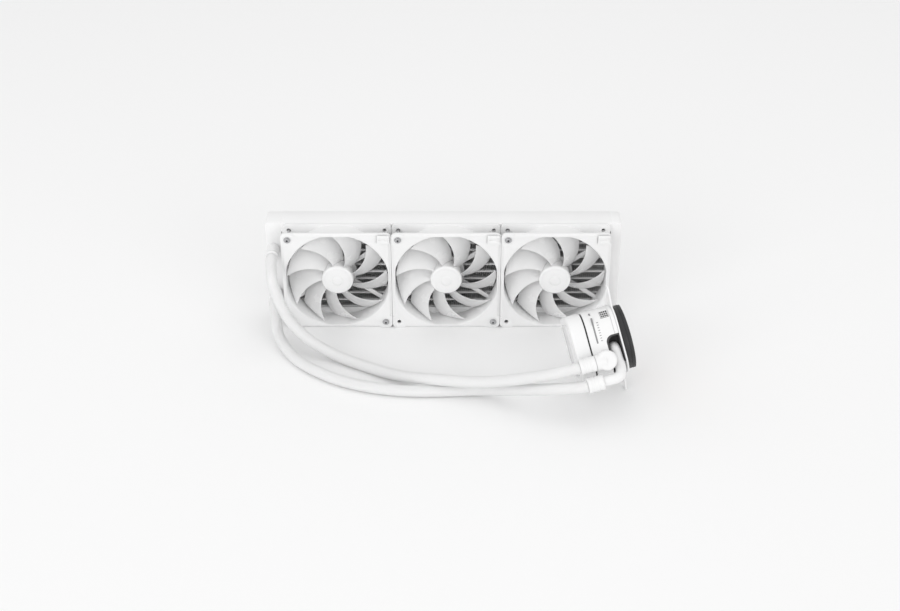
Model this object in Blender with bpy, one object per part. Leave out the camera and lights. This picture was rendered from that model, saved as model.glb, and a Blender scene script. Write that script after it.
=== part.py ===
"""A closed-loop liquid cooler: a long radiator with three fans, two sleeved hoses and a pump head.

Frame: +X runs along the radiator, +Y goes from the fans through the radiator to its back, +Z is up.
The origin is the middle of the long side plate that the radiator stands on.
Every length below is in millimetres. make_mesh and mm turn them into metres.
"""

import math

import bmesh
import bpy
from mathutils import Matrix, Vector

MM = 0.001
GAP = 0.3  # kept between pieces that touch

# Radiator
LENGTH, DEPTH, HEIGHT = 392.0, 27.0, 120.0
LEFT_TANK, RIGHT_TANK = 18.0, 12.0  # how far each end tank reaches along X
TANK_WALL = 2.0
TANK_CORNER = 4.0
SHEET = 1.2  # side plate metal
FLANGE = 11.0  # height of the side plates' turned edges
TUBE_PITCH, TUBE_COUNT = 9.2, 12
TUBE_THICK, TUBE_DEPTH, TUBE_WALL = 2.0, 19.0, 0.4
TUBE_END = 4.0  # how far the flat tubes reach into each tank
HEADER_THICK, HEADER_SET = 1.5, 2.2  # the header plate, and how deep it sits in the tank's mouth
FIN_DEPTH = 18.6  # twice the reach of the fins towards the fans
FIN_BACK = 10.2
PORT_HEIGHTS = {"upper": 88.0, "lower": 32.0}
PORT_INSET = 7.8  # from the radiator's end to the ports' axes

# Fans
FAN_PITCH, FAN_SIZE, FAN_DEPTH = 120.0, 119.6, 25.0
FAN_CENTRES = {"left": 3.0 - FAN_PITCH, "middle": 3.0, "right": 3.0 + FAN_PITCH}
FAN_HEIGHT = HEIGHT / 2
FLANGE_THICK = 3.5
BORE_RADIUS, DUCT_RADIUS = 57.0, 59.4
SCREW_OFFSET = 52.5  # the standard 105 mm square of a 120 mm fan
HUB_RADIUS, HUB_FRONT, HUB_BACK = 17.5, 23.0, 6.5
BLADE_COUNT, BLADE_TIP = 9, 55.4
BLADE_PHASE = 7.0  # where the first blade stands, in degrees
BOSS_RADIUS = 5.0
SHAFT_RADIUS = 1.5
BASE_TOP = 3.6  # front of the motor's base plate

# Pump head. Its own frame has +Z towards the cold plate, and z = 0 where the bracket meets the base.
PUMP_ORIGIN = Vector((180.3, -157.5, 63.6))
PUMP_AXIS = Vector((0.964, 0.174, 0.202))
PUMP_DOWN = Vector((0.264, -0.511, -0.818))
HEAD_SIZE, HEAD_CORNER = 70.0, 18.0
CAP_END, CAP_START = -50.0, -34.8
SEAM = (-34.5, -33.5)
HOUSING = (-33.2, -6.4)
COLLAR = (-6.1, -2.2)
BRACKET = (-1.9, -0.3)
BASE_BACK = 9.3
HEAD_WALL = 2.5
PUMP_SHIFT = 3.0  # the impeller's axis sits this far towards +Y of the head's centre
EAR_ANGLE, EAR_REACH, EAR_RADIUS = 31.0, 58.6, 6.0
PORT_PLANE = -43.5  # y of both elbows' outlets
ELBOW_A = (16.6, -22.5)  # x and z of the round elbow's stub
ELBOW_B_X = 36.5

# Hoses
HOSE_RADIUS = 6.0
LEAD = 5.0  # straight hose at each ferrule
FERRULE_RADIUS = 7.2
PUMP_FERRULE_RADIUS = 8.0
FERRULE_FRONT = 20.5  # from the tank's face to the hose
FERRULE_LENGTH = 17.3
# Middle stretches of both routes, chosen by hand: out of the ports, down to the floor, and up to the head.
UPPER_ROUTE = [
    (-187.6, -46.8, 86.0),
    (-185.2, -65.2, 78.0),
    (-180.9, -72.5, 66.0),
    (-175.7, -77.8, 54.0),
    (-165.3, -83.8, 36.0),
    (-143.7, -94.0, 18.0),
    (-113.8, -108.6, 8.2),
    (-82.8, -125.9, 6.5),
    (-47.0, -146.0, 8.5),
    (-3.7, -170.0, 19.6),
    (43.4, -184.7, 27.0),
    (87.5, -200.4, 43.0),
    (115.5, -211.5, 56.5),
]
LOWER_ROUTE = [
    (-187.0, -46.0, 29.0),
    (-184.5, -59.0, 21.0),
    (-180.5, -74.5, 12.0),
    (-166.0, -101.5, 6.5),
    (-145.0, -126.5, 6.5),
    (-111.0, -151.0, 6.5),
    (-71.0, -166.0, 6.5),
    (-27.0, -172.0, 6.5),
    (38.6, -172.0, 8.0),
    (75.3, -190.0, 21.0),
    (113.0, -216.0, 40.0),
]

COLOURS = {
    "white_paint": ((0.84, 0.84, 0.84), 0.42, 0.0),
    "white_plastic": ((0.86, 0.86, 0.86), 0.45, 0.0),
    "blade_plastic": ((0.74, 0.75, 0.76), 0.25, 0.0),
    "fin_metal": ((0.30, 0.30, 0.31), 0.5, 0.4),
    "tube_metal": ((0.62, 0.62, 0.63), 0.45, 0.3),
    "sleeve": ((0.83, 0.83, 0.83), 0.75, 0.0),
    "black_plastic": ((0.02, 0.02, 0.022), 0.4, 0.0),
    "steel": ((0.60, 0.60, 0.62), 0.3, 1.0),
    "brass": ((0.72, 0.54, 0.28), 0.35, 1.0),
    "copper": ((0.80, 0.42, 0.27), 0.3, 1.0),
    "magnet": ((0.09, 0.09, 0.09), 0.6, 0.2),
    "board": ((0.03, 0.16, 0.08), 0.5, 0.0),
    "panel": ((0.80, 0.80, 0.80), 0.15, 0.0),
}


def clear_scene():
    for obj in list(bpy.data.objects):
        bpy.data.objects.remove(obj, do_unlink=True)


def make_material(name):
    colour, roughness, metallic = COLOURS[name]
    material = bpy.data.materials.new(name)
    material.use_nodes = True
    shader = material.node_tree.nodes["Principled BSDF"]
    shader.inputs["Base Color"].default_value = (*colour, 1.0)
    shader.inputs["Roughness"].default_value = roughness
    shader.inputs["Metallic"].default_value = metallic
    return material


def mm(x, y, z):
    return Vector((x, y, z)) * MM


# ---- outlines and solids, in millimetres, each about its own +Z axis ----


def arc(cx, cy, radius, start, end, steps):
    """Points from angle start to angle end, in degrees."""
    angles = [math.radians(start + (end - start) * i / steps) for i in range(steps + 1)]
    return [(cx + radius * math.cos(t), cy + radius * math.sin(t)) for t in angles]


def circle(radius, sides, cx=0.0, cy=0.0):
    return arc(cx, cy, radius, 0, 360 - 360 / sides, sides - 1)


def rounded_rect(width, height, radius, steps=4):
    x, y = width / 2 - radius, height / 2 - radius
    corners = [(x, y, 0), (-x, y, 90), (-x, -y, 180), (x, -y, 270)]
    return [p for cx, cy, start in corners for p in arc(cx, cy, radius, start, start + 90, steps)]


def add_rings(bm, rings, closed_ends=True, closed_loop=False):
    """Joins rings of points, each with the same count, into one skin."""
    made = [[bm.verts.new(p) for p in ring] for ring in rings]
    count = len(made[0])
    pairs = list(zip(made, made[1:]))
    if closed_loop:
        pairs.append((made[-1], made[0]))
    for a, b in pairs:
        for i in range(count):
            j = (i + 1) % count
            bm.faces.new((a[i], a[j], b[j], b[i]))
    if closed_ends and not closed_loop:
        bm.faces.new(reversed(made[0]))
        bm.faces.new(made[-1])


def prism(outline, low, high, bm=None, matrix=Matrix()):
    bm = bm or bmesh.new()
    add_rings(bm, [[matrix @ Vector((x, y, z)) for x, y in outline] for z in (low, high)])
    return bm


def ring_prism(outer, inner, low, high, bm=None):
    """A wall between two outlines with the same number of points."""
    bm = bm or bmesh.new()
    loops = [(outer, low), (outer, high), (inner, high), (inner, low)]
    add_rings(bm, [[Vector((x, y, z)) for x, y in loop] for loop, z in loops], closed_loop=True)
    return bm


def box(low, high, bm=None, matrix=Matrix()):
    outline = [(low[0], low[1]), (high[0], low[1]), (high[0], high[1]), (low[0], high[1])]
    return prism(outline, low[2], high[2], bm, matrix)


def lathe(profile, sides=32, bm=None, matrix=Matrix()):
    """Turns (radius, z) points about Z. A profile that starts and ends on the axis makes a solid piece."""
    bm = bm or bmesh.new()
    solid = profile[0][0] == 0
    points = profile[1:-1] if solid else profile
    turned = []
    for radius, z in points:
        turned.append([matrix @ Vector((x, y, z)) for x, y in circle(radius, sides)])
    add_rings(bm, turned, closed_ends=False, closed_loop=not solid)
    if solid:
        bm.verts.ensure_lookup_table()
        first = len(bm.verts) - sides * len(points)
        for start, (_, z), turn in ((first, profile[0], 1), (len(bm.verts) - sides, profile[-1], -1)):
            ring = [bm.verts[start + i] for i in range(sides)]
            if z == points[0 if turn == 1 else -1][1]:
                bm.faces.new(ring[::-turn])
                continue
            pole = bm.verts.new(matrix @ Vector((0, 0, z)))
            for i in range(sides):
                bm.faces.new((pole, ring[i], ring[(i + 1) % sides])[::-turn])
            bm.verts.ensure_lookup_table()
    return bm


def sweep(path, radius, sides, bm=None):
    """A round bar along a list of points."""
    bm = bm or bmesh.new()
    points = [Vector(p) for p in path]
    steps = [(b - a).normalized() for a, b in zip(points, points[1:])]
    tangents = [(a + b).normalized() for a, b in zip(steps, steps[1:])]
    tangents = [steps[0], *tangents, steps[-1]]
    side = tangents[0].orthogonal().normalized()
    rings = []
    for point, tangent in zip(points, tangents):
        side = (side - tangent * side.dot(tangent)).normalized()
        other = tangent.cross(side)
        rings.append([point + side * x + other * y for x, y in circle(radius, sides)])
    add_rings(bm, rings)
    return bm


def smooth_route(points, spacing):
    """Points along a Catmull-Rom curve through the given ones, about spacing apart."""
    points = [Vector(p) for p in points]
    padded = [2 * points[0] - points[1]] + points + [2 * points[-1] - points[-2]]
    fine = []
    for a, b, c, d in zip(padded, padded[1:], padded[2:], padded[3:]):
        for i in range(12):
            t = i / 12
            square, cube = 2 * a - 5 * b + 4 * c - d, 3 * b - a - 3 * c + d
            fine.append(0.5 * (2 * b + (c - a) * t + square * t**2 + cube * t**3))
    fine.append(points[-1])
    lengths = [0.0]
    for a, b in zip(fine, fine[1:]):
        lengths.append(lengths[-1] + (b - a).length)
    count = max(2, round(lengths[-1] / spacing))
    route, at = [], 0
    for i in range(count + 1):
        target = lengths[-1] * i / count
        while at < len(fine) - 2 and lengths[at + 1] < target:
            at += 1
        share = (target - lengths[at]) / (lengths[at + 1] - lengths[at])
        route.append(fine[at].lerp(fine[at + 1], share))
    return route


# ---- objects ----


def make_mesh(name, shape, material, sharp=35):
    """A finished mesh in metres, from a bmesh or mesh in millimetres."""
    if isinstance(shape, bmesh.types.BMesh):
        bmesh.ops.recalc_face_normals(shape, faces=shape.faces)
        mesh = bpy.data.meshes.new(name)
        shape.to_mesh(mesh)
        shape.free()
    else:
        mesh = shape
        mesh.name = name
    mesh.transform(Matrix.Scale(MM, 4))
    mesh.materials.clear()
    mesh.materials.append(MATERIALS[material])
    mesh.shade_smooth()
    mesh.set_sharp_from_angle(angle=math.radians(sharp))
    return mesh


def add(name, mesh, parent=None, location=(0, 0, 0)):
    obj = bpy.data.objects.new(name, mesh)
    bpy.context.collection.objects.link(obj)
    obj.parent = parent
    obj.location = location
    return obj


def add_solid(name, shape, material, parent=None, sharp=35):
    return add(name, make_mesh(name, shape, material, sharp), parent)


def carve(body, *steps):
    """The mesh left after Boolean steps, each an operation and a bmesh, on the bmesh body."""
    made = []
    for shape in [body] + [tool for _, tool in steps]:
        bmesh.ops.recalc_face_normals(shape, faces=shape.faces)
        mesh = bpy.data.meshes.new("tool")
        shape.to_mesh(mesh)
        shape.free()
        made.append(add("tool", mesh))
    for tool, (operation, _) in zip(made[1:], steps):
        modifier = made[0].modifiers.new("Boolean", "BOOLEAN")
        modifier.operation = operation
        modifier.object = tool
        modifier.solver = "EXACT"
    graph = bpy.context.evaluated_depsgraph_get()
    result = bpy.data.meshes.new_from_object(made[0].evaluated_get(graph))
    for obj in made:
        bpy.data.objects.remove(obj, do_unlink=True)
    return result


def empty(name, place):
    """An empty at a place whose translation is in millimetres."""
    obj = bpy.data.objects.new(name, None)
    obj.empty_display_size = 0.02
    bpy.context.collection.objects.link(obj)
    turn = place.to_3x3().to_4x4()
    obj.matrix_world = Matrix.Translation(place.translation * MM) @ turn
    return obj


# ---- radiator ----

FRONT = -DEPTH / 2
LEFT, RIGHT = -LENGTH / 2, LENGTH / 2
CORE_LEFT, CORE_RIGHT = LEFT + LEFT_TANK, RIGHT - RIGHT_TANK
FACE_UPRIGHT = Matrix.Rotation(math.radians(90), 4, "X")  # local Z becomes -Y, local Y becomes +Z
SCREW_X = [centre + side * SCREW_OFFSET for centre in FAN_CENTRES.values() for side in (-1, 1)]
SCREW_Z = (FAN_HEIGHT - SCREW_OFFSET, FAN_HEIGHT + SCREW_OFFSET)


def tank(outer_end, mouth, port_heights):
    """A box with rounded corners, open towards the core, with holes for ports in its front."""
    middle, width = (outer_end + mouth) / 2, abs(mouth - outer_end)
    outline = [(x + middle, z + HEIGHT / 2) for x, z in rounded_rect(width, HEIGHT, TANK_CORNER)]
    body = prism(outline, -DEPTH / 2, DEPTH / 2, matrix=FACE_UPRIGHT)
    inward = 1 if mouth > outer_end else -1
    ends = sorted((outer_end + inward * TANK_WALL, mouth + inward * 1.0))
    half = DEPTH / 2 - TANK_WALL
    cavity = box((ends[0], -half, TANK_WALL), (ends[1], half, HEIGHT - TANK_WALL))
    steps = [("DIFFERENCE", cavity)]
    if port_heights:
        holes = bmesh.new()
        for height in port_heights:
            outline = circle(4.6, 16, outer_end + inward * PORT_INSET, height)
            prism(outline, DEPTH / 2 - TANK_WALL - 1, DEPTH / 2 + 1, holes, FACE_UPRIGHT)
        steps.append(("DIFFERENCE", holes))
    return carve(body, *steps)


def tube_heights():
    return [FAN_HEIGHT + (i - (TUBE_COUNT - 1) / 2) * TUBE_PITCH for i in range(TUBE_COUNT)]


def tube_bundle():
    """The flat tubes, brazed into the header plates that close both tanks' mouths."""
    half = DEPTH / 2 - TANK_WALL - GAP
    plates, tubes, bores = bmesh.new(), bmesh.new(), bmesh.new()
    for low in (CORE_LEFT - HEADER_SET, CORE_RIGHT + HEADER_SET - HEADER_THICK):
        box((low, -half, TANK_WALL + GAP), (low + HEADER_THICK, half, HEIGHT - TANK_WALL - GAP), plates)
    ends = (CORE_LEFT - TUBE_END, CORE_RIGHT + TUBE_END)
    for height in tube_heights():
        for shape, cut, past in ((tubes, 0, 0), (bores, TUBE_WALL, 1)):
            y, z = TUBE_DEPTH / 2 - cut, TUBE_THICK / 2 - cut
            box((ends[0] - past, -y, height - z), (ends[1] + past, y, height + z), shape)
    return carve(plates, ("UNION", tubes), ("DIFFERENCE", bores))


def fin_core():
    """One block for each row of folded fins, joined by a thin strip up the back at each end."""
    rows, strips = bmesh.new(), bmesh.new()
    half = (TUBE_PITCH - TUBE_THICK) / 2 - GAP
    reach = HEADER_SET - HEADER_THICK - GAP
    low, high = CORE_LEFT - reach, CORE_RIGHT + reach
    span = TUBE_COUNT / 2 * TUBE_PITCH + half - 1.0
    for i in range(TUBE_COUNT + 1):
        height = FAN_HEIGHT + (i - TUBE_COUNT / 2) * TUBE_PITCH
        box((low, -FIN_DEPTH / 2, height - half), (high, FIN_BACK, height + half), rows)
    for x in (low + 0.5, high - 2.5):
        near = (x, TUBE_DEPTH / 2 + GAP, FAN_HEIGHT - span)
        box(near, (x + 2.0, FIN_BACK + 0.5, FAN_HEIGHT + span), strips)
    return carve(rows, ("UNION", strips))


def side_plate(outer_z, inward):
    """A shallow channel along the core, whose turned edges hold the fans' screws."""
    inner_z, edge_z = outer_z + inward * SHEET, outer_z + inward * FLANGE
    y, inside = DEPTH / 2, DEPTH / 2 - SHEET
    section = [(-y, outer_z), (y, outer_z), (y, edge_z), (inside, edge_z)]
    section += [(inside, inner_z), (-inside, inner_z), (-inside, edge_z), (-y, edge_z)]
    bm = bmesh.new()
    ends = (CORE_LEFT + GAP, CORE_RIGHT - GAP)
    add_rings(bm, [[Vector((x, y, z)) for y, z in section] for x in ends])
    height = SCREW_Z[0] if outer_z < FAN_HEIGHT else SCREW_Z[1]
    holes = bmesh.new()
    for x in SCREW_X:
        prism(circle(1.9, 6, x, height), -y - 1, y + 1, holes, FACE_UPRIGHT)
    return carve(bm, ("DIFFERENCE", holes))


def port_fitting():
    """A hollow barb with a flange. Its own +Z points out of the tank."""
    profile = [(4.2, -4.5), (4.2, GAP), (6.6, GAP), (6.6, 2.6), (3.5, 2.6), (4.1, 6.0), (3.5, 9.0)]
    profile += [(3.4, 15.0), (2.4, 15.0), (2.4, -4.5)]
    return lathe(profile, 12)


def ferrule(radius, length):
    """A crimped collar over the barb, closed but for the bore at the hose's end."""
    profile = [(radius - 0.8, 0), (radius, 0.8), (radius, length - 0.8), (radius - 0.8, length)]
    profile += [(2.6, length), (2.6, length - 1.6), (4.6, length - 1.6), (4.6, 0)]
    return lathe(profile, 16)


def build_radiator():
    add_solid("left_tank", tank(LEFT, CORE_LEFT, PORT_HEIGHTS.values()), "white_paint")
    add_solid("right_tank", tank(RIGHT, CORE_RIGHT, ()), "white_paint")
    add_solid("tube_bundle", tube_bundle(), "tube_metal")
    add_solid("fin_core", fin_core(), "fin_metal")
    add_solid("bottom_side_plate", side_plate(0, 1), "white_paint")
    add_solid("top_side_plate", side_plate(HEIGHT, -1), "white_paint")
    fitting = make_mesh("port_fitting", port_fitting(), "white_plastic")
    collar = make_mesh("port_ferrule", ferrule(FERRULE_RADIUS, FERRULE_LENGTH), "white_plastic")
    for side, height in PORT_HEIGHTS.items():
        place = Matrix.Translation((LEFT + PORT_INSET, FRONT, height)) @ FACE_UPRIGHT
        axis = empty(f"port_{side}", place)
        add(f"port_fitting_{side}", fitting, axis)
        add(f"port_ferrule_{side}", collar, axis, mm(0, 0, 2.9))


# ---- fans: each fan's own +Z points to the front, and z = 0 is its back ----


def fan_frame():
    body = prism(rounded_rect(FAN_SIZE, FAN_SIZE, 5.0), 0, FAN_DEPTH)
    bore = prism(circle(BORE_RADIUS, 40), -1, FAN_DEPTH + 1)
    middle = (FLANGE_THICK, FAN_DEPTH - FLANGE_THICK)
    waist = ring_prism(circle(95, 40), circle(DUCT_RADIUS, 40), *middle)
    holes = bmesh.new()
    for x in (-SCREW_OFFSET, SCREW_OFFSET):
        for y in (-SCREW_OFFSET, SCREW_OFFSET):
            prism(circle(2.3, 8, x, y), -1, FAN_DEPTH + 1, holes)
    profile = [(0, 0.5), (20.5, 0.5), (20.5, BASE_TOP), (BOSS_RADIUS, BASE_TOP), (BOSS_RADIUS, 15), (0, 15)]
    base = lathe(profile, 20)
    struts = bmesh.new()
    for angle in (35, 145, 215, 325):
        turn = Matrix.Rotation(math.radians(angle), 4, "Z")
        box((19.0, -2.2, 0.8), (BORE_RADIUS + 1.2, 2.2, 3.1), struts, turn)
    bearing_seat = prism(circle(3.6, 12), -1, 16)
    return carve(
        body,
        ("DIFFERENCE", bore),
        ("DIFFERENCE", waist),
        ("DIFFERENCE", holes),
        ("UNION", base),
        ("UNION", struts),
        ("DIFFERENCE", bearing_seat),
    )


def blade_section(reach):
    """One closed ring of a blade's section, reach going from 0 at the hub to 1 at the tip."""
    radius = HUB_RADIUS - 0.7 + (BLADE_TIP - HUB_RADIUS + 0.7) * reach
    wrap = math.radians(34 - 4 * reach)
    lead = math.radians(BLADE_PHASE + 32 * reach**1.15)
    front = 20.0 + 2.6 * reach
    drop = 12.6 + 5.4 * reach
    thick = 1.9 - 0.8 * reach
    stations = (0.0, 0.3, 0.7, 1.0)
    upper, lower = [], []
    for share in stations:
        angle = lead + wrap * (0.5 - share)
        height = front - drop * share - 1.6 * math.sin(math.pi * share)
        half = thick * math.sin(math.pi * (0.12 + 0.76 * share)) / 2
        for side, points in ((1, upper), (-1, lower)):
            z = height + side * half
            points.append(Vector((radius * math.cos(angle), radius * math.sin(angle), z)))
    return upper + lower[::-1]


def rotor():
    """A hub cup with nine blades, swept forward at the tips."""
    wall = 1.3
    profile = [(0, HUB_FRONT + 0.9), (14.5, HUB_FRONT + 0.2), (HUB_RADIUS, HUB_FRONT - 1.8)]
    profile += [(HUB_RADIUS, HUB_BACK), (HUB_RADIUS - wall, HUB_BACK)]
    profile += [(HUB_RADIUS - wall, HUB_FRONT - 2.6), (3.4, HUB_FRONT - 2.6), (3.4, 17.5), (1.8, 17.5)]
    profile += [(1.8, HUB_FRONT - 1.6), (0, HUB_FRONT - 1.6)]
    hub = lathe(profile, 24)
    blades = bmesh.new()
    for i in range(BLADE_COUNT):
        turn = Matrix.Rotation(2 * math.pi * i / BLADE_COUNT, 4, "Z")
        rings = [[turn @ p for p in blade_section(reach)] for reach in (0, 0.35, 0.7, 1)]
        add_rings(blades, rings)
    return carve(hub, ("UNION", blades))


def stator(inner, neck, tip, low, high, poles, sides):
    """Wound laminations with poles round a bore."""
    def star(short, long, share):
        points = []
        for i in range(sides):
            turn = i / sides
            beside_pole = abs((turn * poles + 0.5) % 1 - 0.5) < share
            radius = long if beside_pole else short
            points.append((radius * math.cos(2 * math.pi * turn), radius * math.sin(2 * math.pi * turn)))
        return points

    return ring_prism(star(neck, tip, 0.27), circle(inner, sides), low, high)


def screw(head_z, tip_z, shaft, head):
    """A pan-head screw with a washer and a socket, pointing down."""
    profile = [(0, head_z + 0.7), (1.3, head_z + 0.7), (1.5, head_z + 2.0), (head - 0.9, head_z + 2.0)]
    profile += [(head - 0.4, head_z + 0.8), (head + 0.5, head_z + 0.8), (head + 0.5, head_z)]
    profile += [(shaft, head_z), (shaft, tip_z), (0, tip_z)]
    return lathe(profile, 10)


def link_block():
    """The raised contact block on the fan's upper right corner, with a slot across it."""
    outline = [(x + 51.5, y + 53.6) for x, y in rounded_rect(13.5, 10.0, 1.2, 2)]
    block = prism(outline, FAN_DEPTH + GAP, FAN_DEPTH + 2.6)
    slot = box((47.0, 53.0, FAN_DEPTH + 1.6), (53.5, 54.6, FAN_DEPTH + 4))
    return carve(block, ("DIFFERENCE", slot))


def build_fans():
    bearing = lathe([(3.2, 1.2), (3.2, 15.6), (SHAFT_RADIUS + 0.35, 15.6), (SHAFT_RADIUS + 0.35, 1.2)], 12)
    shaft = lathe([(0, 1.6), (SHAFT_RADIUS, 1.6), (SHAFT_RADIUS, 20.6), (0, 20.6)], 12)
    pieces = {
        "fan_frame": (fan_frame(), "white_plastic"),
        "fan_rotor": (rotor(), "blade_plastic"),
        "fan_shaft": (shaft, "steel"),
        "fan_magnet": (lathe([(15.9, 7.4), (15.9, 18.4), (14.4, 18.4), (14.4, 7.4)], 20), "magnet"),
        "fan_bearing": (bearing, "brass"),
        "fan_stator": (stator(BOSS_RADIUS + GAP, 7.6, 13.7, 6.5, 15.3, 4, 20), "steel"),
        "fan_link_block": (link_block(), "white_plastic"),
    }
    meshes = {name: make_mesh(name, *piece) for name, piece in pieces.items()}
    long_screw = make_mesh("fan_screw", screw(FAN_DEPTH + GAP, -3.0, SHAFT_RADIUS, 3.2), "steel")
    corners = {"upper": (-SCREW_OFFSET, SCREW_OFFSET), "lower": (SCREW_OFFSET, -SCREW_OFFSET)}
    for side, centre in FAN_CENTRES.items():
        place = Matrix.Translation((centre, FRONT - GAP, FAN_HEIGHT)) @ FACE_UPRIGHT
        axis = empty(f"fan_axis_{side}", place)
        for name, mesh in meshes.items():
            add(f"{name}_{side}", mesh, axis)
        for corner, (x, y) in corners.items():
            add(f"fan_screw_{corner}_{side}", long_screw, axis, mm(x, y, 0))


# ---- pump head: +X towards the lower edge, +Y away from the ports, +Z towards the cold plate ----


def head_matrix():
    axis = PUMP_AXIS.normalized()
    down = (PUMP_DOWN - axis * PUMP_DOWN.dot(axis)).normalized()
    turn = Matrix((down, axis.cross(down), axis)).transposed().to_4x4()
    return Matrix.Translation(PUMP_ORIGIN) @ turn


def head_outline(inset=0.0):
    size = HEAD_SIZE - 2 * inset
    return rounded_rect(size, size, HEAD_CORNER - inset, 5)


def cap():
    """A shallow lid with a bevelled edge, hollow from the seam's side."""
    bm = bmesh.new()
    loops = [(2.4, CAP_END), (0.7, CAP_END + 0.8), (0.0, CAP_END + 2.6), (0.0, CAP_START)]
    loops += [(HEAD_WALL, CAP_START), (HEAD_WALL, CAP_END + 3.4)]
    add_rings(bm, [[Vector((x, y, z)) for x, y in head_outline(inset)] for inset, z in loops])
    recess = prism(rounded_rect(54, 54, 10, 4), CAP_END - 1, CAP_END + 1.0)
    return carve(bm, ("DIFFERENCE", recess))


def bay_outline(inset):
    """The arch-shaped recess round the fittings, as (x, z), wide open at its lower end."""
    top, left, right = -6.5 + inset, -16.5 + inset, -1.0 - inset
    return [(40, right), (top, right)] + arc(top + 7.0, left + 7.0, 7.0, 180, 270, 5) + [(40, left)]


def across(outline, low, high, bm=None):
    """A prism whose outline is (x, z) and which runs along y."""
    bm = bm or bmesh.new()
    add_rings(bm, [[Vector((x, y, z)) for x, z in outline] for y in (low, high)])
    return bm


def connector_place():
    """On the rounded edge at the top of the ports' face, facing out of it."""
    middle = HEAD_SIZE / 2 - HEAD_CORNER
    turn = Matrix.Rotation(math.radians(-41), 4, "Z")
    return Matrix.Translation((-middle, -middle, -11.5)) @ turn


def housing():
    body = ring_prism(head_outline(), head_outline(HEAD_WALL), *HOUSING)
    bay = across(bay_outline(0), -40, -16.0)
    grooves = box((-28, -36, -25.9), (-1.5, -34.1, -24.9))
    box((-34.0, -29, -25.9), (-30.5, -24.5, -24.9), grooves)
    stub_hole = across(circle(4.7, 16, *ELBOW_A), -40, -30)
    pocket = box((-4.6, -HEAD_CORNER - 2, -4.4), (4.6, -HEAD_CORNER + 5, 4.4), matrix=connector_place())
    cuts = (bay, grooves, stub_hole, pocket)
    return carve(body, *[("DIFFERENCE", shape) for shape in cuts])


def base_collar():
    body = ring_prism(head_outline(), head_outline(HEAD_WALL), *COLLAR)
    return carve(body, ("DIFFERENCE", across(bay_outline(0), -40, -16.0)))


def bay_liner():
    """The black lining of the recess, cut back to the head's outline."""
    body = across(bay_outline(0.4), -36, -16.4)
    hollow = across(bay_outline(1.6), -42, -17.6)
    depth = prism(head_outline(1.2), HOUSING[0], COLLAR[1])
    room = box((-30, -36, -30), (23.0, 0, COLLAR[1]))
    return carve(body, ("DIFFERENCE", hollow), ("INTERSECT", depth), ("INTERSECT", room))


def side_connector():
    body = box((-4.2, -HEAD_CORNER + 0.4, -4.0), (4.2, -HEAD_CORNER + 4.4, 4.0))
    slots = bmesh.new()
    for i in range(5):
        for x in (-2.0, 2.0):
            z = -3.0 + 1.5 * i
            box((x - 1.4, -HEAD_CORNER - 1, z - 0.45), (x + 1.4, -HEAD_CORNER + 1.8, z + 0.45), slots)
    mesh = carve(body, ("DIFFERENCE", slots))
    mesh.transform(connector_place())
    return mesh


def bracket():
    """A thin plate under the head, with two ears on the diagonal of a processor's screw rectangle."""
    low, high = BRACKET
    plate = ring_prism(head_outline(-0.8), circle(17.0, 24, 0, PUMP_SHIFT), low, high)
    ears = bmesh.new()
    for angle in (EAR_ANGLE, EAR_ANGLE + 180):
        turn = Matrix.Rotation(math.radians(angle), 4, "Z")
        end = arc(EAR_REACH, 0, EAR_RADIUS, -90, 90, 8)
        prism([(36, -EAR_RADIUS - 2)] + end + [(36, EAR_RADIUS + 2)], low, high, ears, turn)
    holes = bmesh.new()
    for angle in (EAR_ANGLE, EAR_ANGLE + 180):
        t = math.radians(angle)
        outline = circle(2.2, 12, EAR_REACH * math.cos(t), EAR_REACH * math.sin(t))
        prism(outline, low - 1, high + 1, holes)
    return carve(plate, ("UNION", ears), ("DIFFERENCE", holes))


def base_block():
    """The black base: a disc with two flat edges, opened for coolant and for the cold plate."""
    half = math.degrees(math.asin(33 / 34.5))
    outline = arc(0, 0, 34.5, -half, half, 10) + arc(0, 0, 34.5, 180 - half, 180 + half, 10)
    outline = [(y, x) for x, y in outline]
    body = prism(outline, GAP, BASE_BACK)
    steps = [(0, -1), (13.4, -1), (13.4, 4.0), (24, 4.0), (24, 6.8), (26.4, 6.8), (26.4, 12), (0, 12)]
    opening = lathe(steps, 32)
    return carve(body, ("DIFFERENCE", opening))


def cold_plate():
    plate = lathe([(0, 7.2), (26.0, 7.2), (26.0, BASE_BACK + 0.3), (0, BASE_BACK + 0.3)], 32)
    fins = bmesh.new()
    for i in range(11):
        x = (i - 5) * 3.0
        box((x - 0.6, -15, 4.6), (x + 0.6, 15, 7.8), fins)
    return carve(plate, ("UNION", fins))


def volute():
    """The pump's chamber: a wide cup for the impeller below a narrow can for its magnet."""
    profile = [(0, -27.0), (8.0, -27.0), (8.0, -16.8), (15.5, -16.8), (15.5, 0.0), (13.7, 0.0)]
    profile += [(13.7, -15.2), (6.6, -15.2), (6.6, -25.4), (0, -25.4)]
    return lathe(profile, 20)


def impeller():
    """A disc with six curved vanes on the side of the cold plate."""
    disc = lathe([(12.4, -13.8), (12.4, -12.4), (1.6, -12.4), (1.6, -13.8)], 18)
    vanes = bmesh.new()
    for i in range(6):
        turn = Matrix.Rotation(math.radians(60 * i), 4, "Z")
        inner = arc(8.5, 0, 5.6, 90, 180, 2)
        outer = arc(8.5, 0, 6.8, 180, 90, 2)
        prism(inner + outer, -12.9, -7.0, vanes, turn)
    return carve(disc, ("UNION", vanes))


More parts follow.
